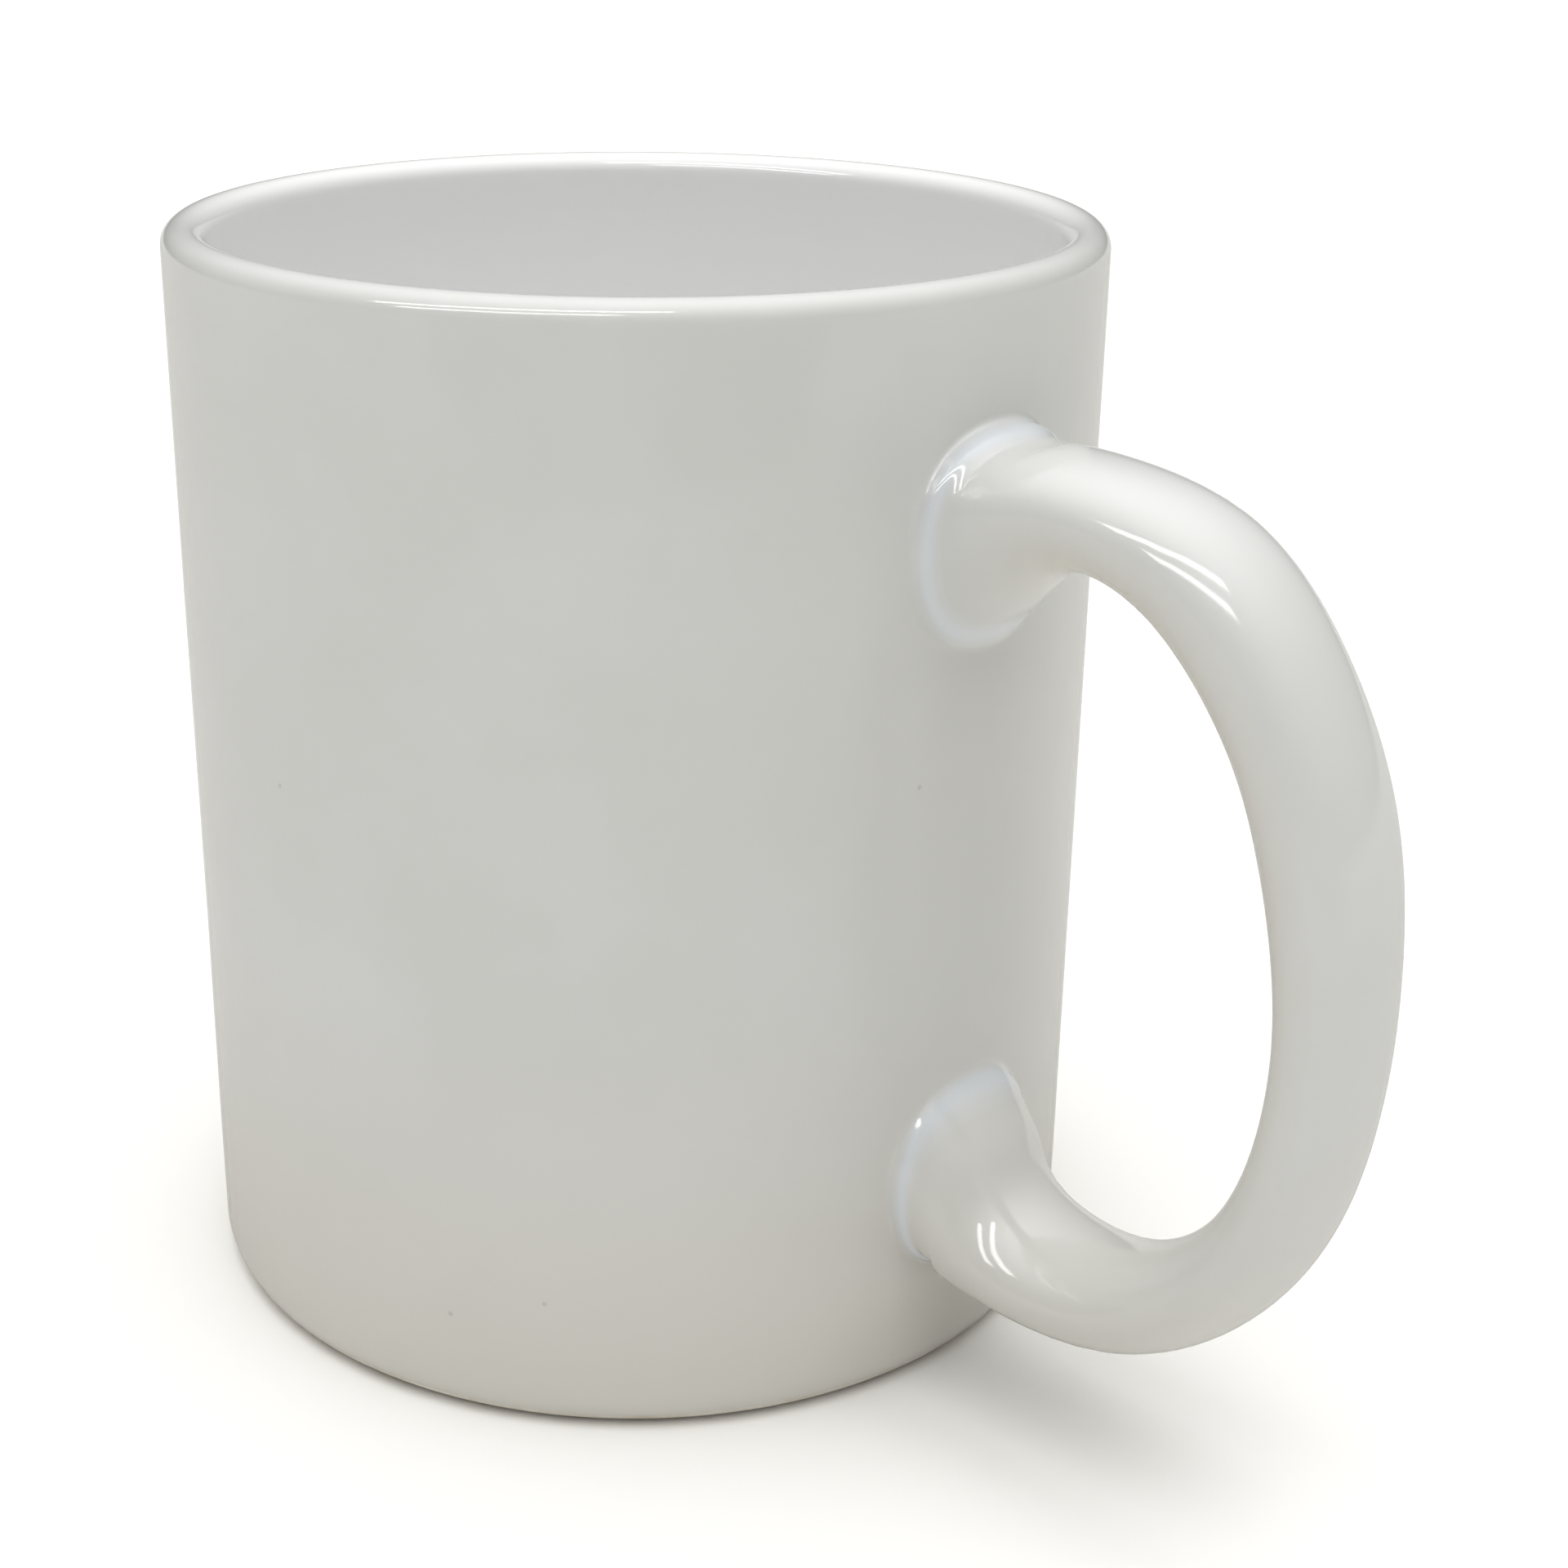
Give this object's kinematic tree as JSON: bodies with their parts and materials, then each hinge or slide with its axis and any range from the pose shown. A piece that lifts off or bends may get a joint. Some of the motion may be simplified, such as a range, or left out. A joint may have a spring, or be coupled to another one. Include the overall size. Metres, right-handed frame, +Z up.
{
  "type": "ceramic mug",
  "caption": "Straight-sided white glazed ceramic mug with a rounded lip, a loop handle joined on with slip, and a bare foot ring.",
  "frame": {"origin": "centre of the foot, on the cup's own axis, at table height", "axes": "+Z up along the cup's axis, +X from the cup's axis towards the handle, +Y across the handle"},
  "size_m": [0.1179, 0.08, 0.095],
  "materials": {
    "glaze": "gloss",
    "biscuit": "matt, fine grained",
    "slip": "matt under the glaze"
  },
  "bodies": {
    "root": {"cup_body": "biscuit", "handle": "biscuit", "upper_slip_joint": "slip", "lower_slip_joint": "slip", "glaze_coat": "glaze", "base_glaze": "glaze"}
  },
  "joints": []
}
